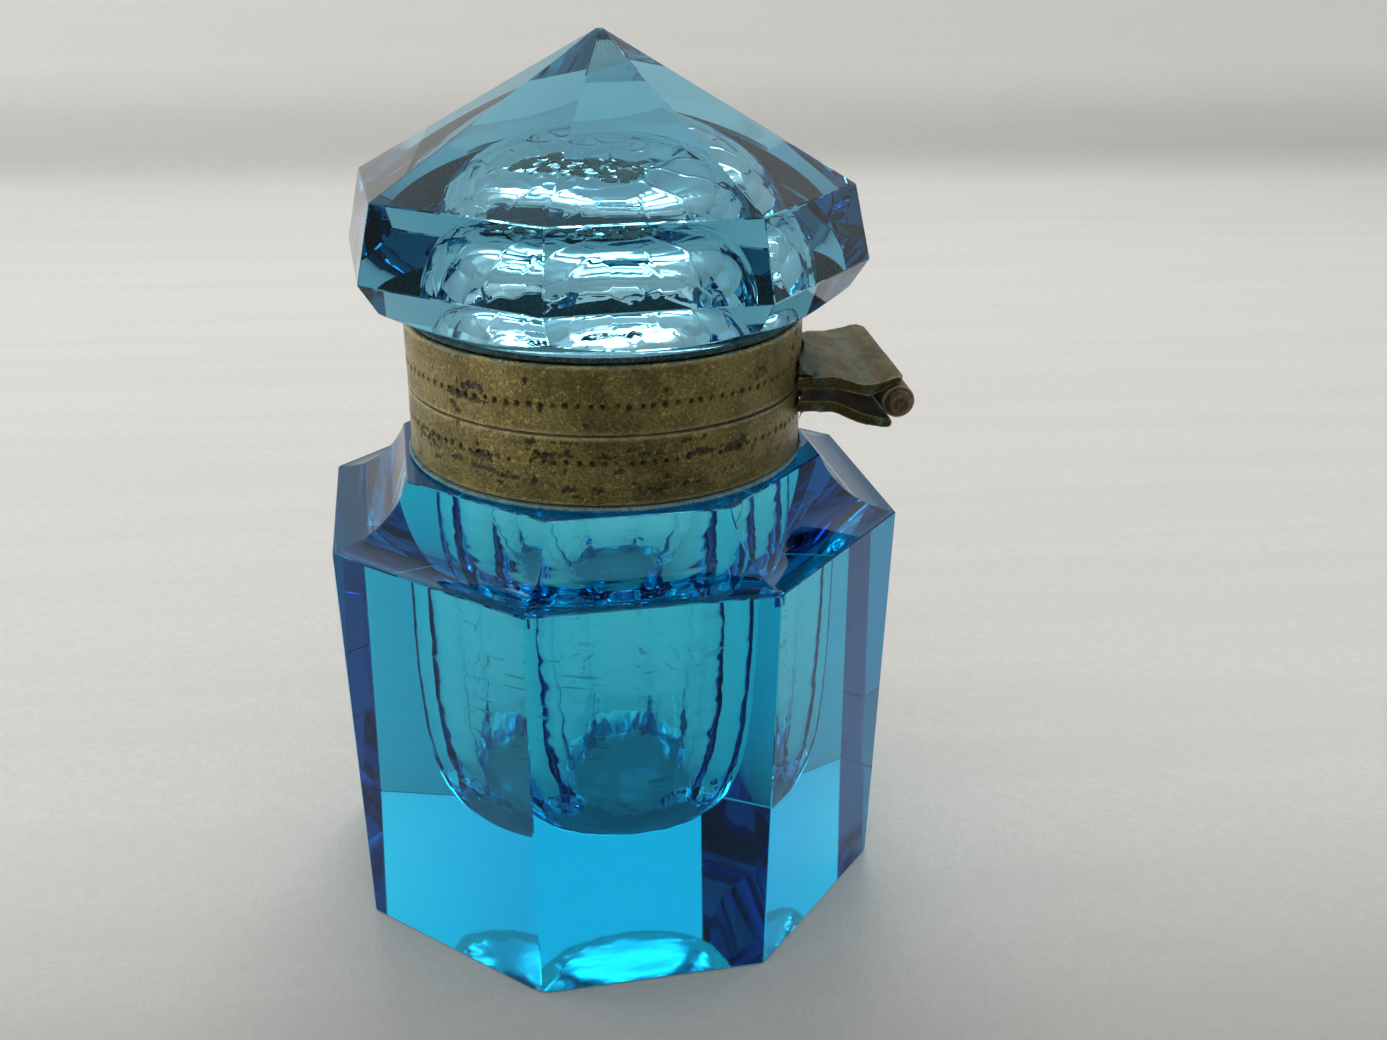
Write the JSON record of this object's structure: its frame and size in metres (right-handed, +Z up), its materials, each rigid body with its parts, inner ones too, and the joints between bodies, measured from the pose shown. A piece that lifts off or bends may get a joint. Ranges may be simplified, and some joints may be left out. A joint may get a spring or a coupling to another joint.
{
  "type": "ink bottle",
  "caption": "Cut-glass octagonal desk ink bottle with a round well, a split brass collar and a hinged faceted glass lid.",
  "frame": {"origin": "centre of the flat underside of the bottle, on the axis of the round neck", "axes": "+Z up; the hinge is at the back on the +Y side and its pin lies along X; the lid opens backwards, towards +Y; -Y is the front"},
  "size_m": [0.0518, 0.053, 0.079],
  "materials": {
    "blue_glass": "polished turquoise-blue cut glass",
    "pale_glass": "polished paler blue cut glass",
    "aged_brass": "aged, olive-brown, pitted and speckled",
    "pin_brass": "dull brown brass",
    "solder": "dull grey-green solder",
    "cement": "rough dark teal, stained by verdigris"
  },
  "bodies": {
    "bottle": {"glass_body": "blue_glass", "neck_cement": "cement", "lower_collar": "aged_brass", "lower_hinge_leaf": "aged_brass", "middle_knuckle": "aged_brass", "lower_solder": "solder", "hinge_pin": "pin_brass"},
    "lid": {"lid_glass": "pale_glass", "lid_cement": "cement", "upper_collar": "aged_brass", "upper_hinge_leaf": "aged_brass", "front_knuckle": "aged_brass", "rear_knuckle": "aged_brass", "upper_solder": "solder"}
  },
  "joints": [
    {"name": "lid_hinge", "type": "hinge", "parent": "bottle", "child": "lid", "pos_m": [0, 0.0256, 0.048], "axis": [-1, 0, 0], "range_deg": [0, 110]}
  ]
}
